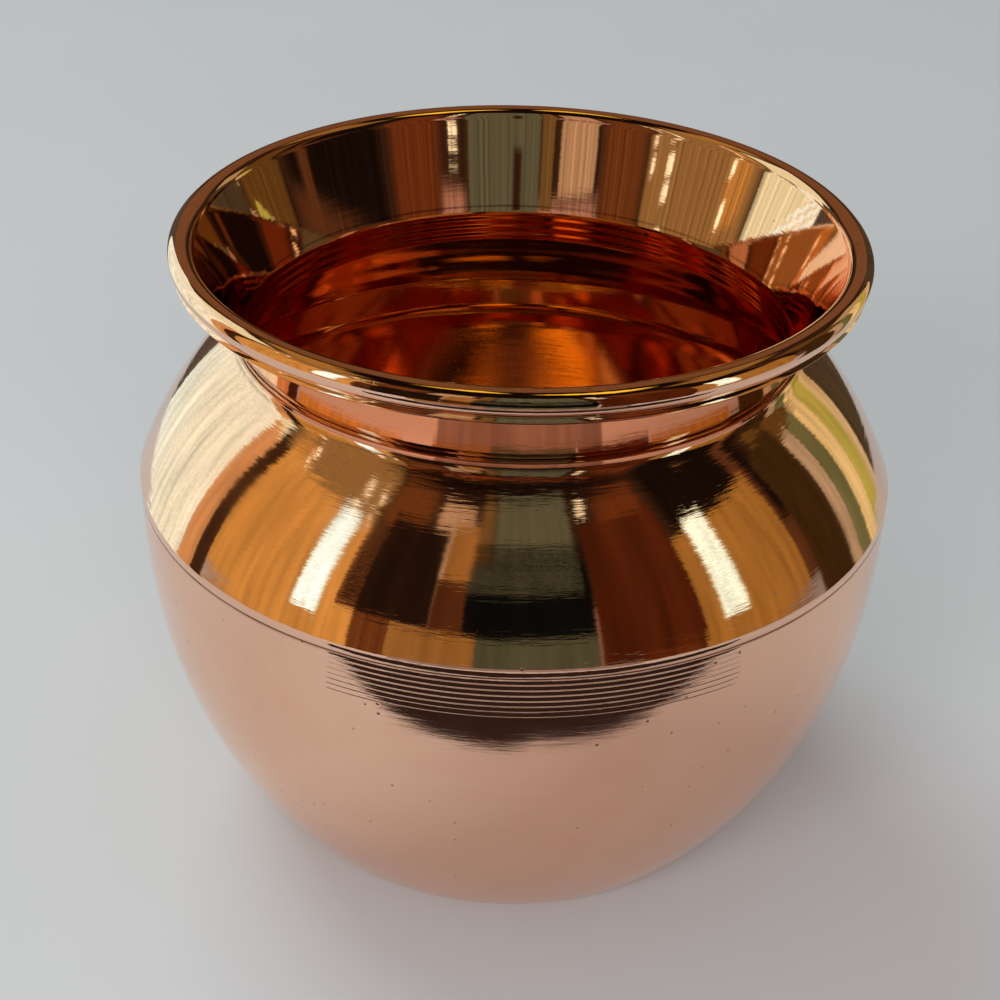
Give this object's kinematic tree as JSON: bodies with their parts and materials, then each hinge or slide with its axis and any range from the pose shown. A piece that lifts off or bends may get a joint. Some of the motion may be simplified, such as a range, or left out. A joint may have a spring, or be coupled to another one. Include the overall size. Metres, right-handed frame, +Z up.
{
  "type": "water pot",
  "caption": "Round-bellied spun copper water pot with a sharp shoulder ridge, a short neck and a wide flared mouth with a wired, rolled rim.",
  "frame": {"origin": "on the floor under the middle of the pot, in the plane of the foot ring", "axes": "+Z up along the axis that the pot was turned on; X and Y are any two level directions, as the pot is round"},
  "size_m": [0.128, 0.128, 0.1086],
  "materials": {
    "polished_copper": "mirror-polished copper with fine turning lines",
    "bowl_copper": "softly polished copper with turned grooves and small pits",
    "wire_copper": "drawn copper wire, not polished",
    "braze_metal": "brass filler left as it flowed, slightly dull"
  },
  "bodies": {
    "root": {"lower_bowl": "bowl_copper", "shoulder_shell": "polished_copper", "neck_collar": "polished_copper", "rim_wire": "wire_copper", "belly_braze": "braze_metal", "neck_braze": "braze_metal"}
  },
  "joints": []
}
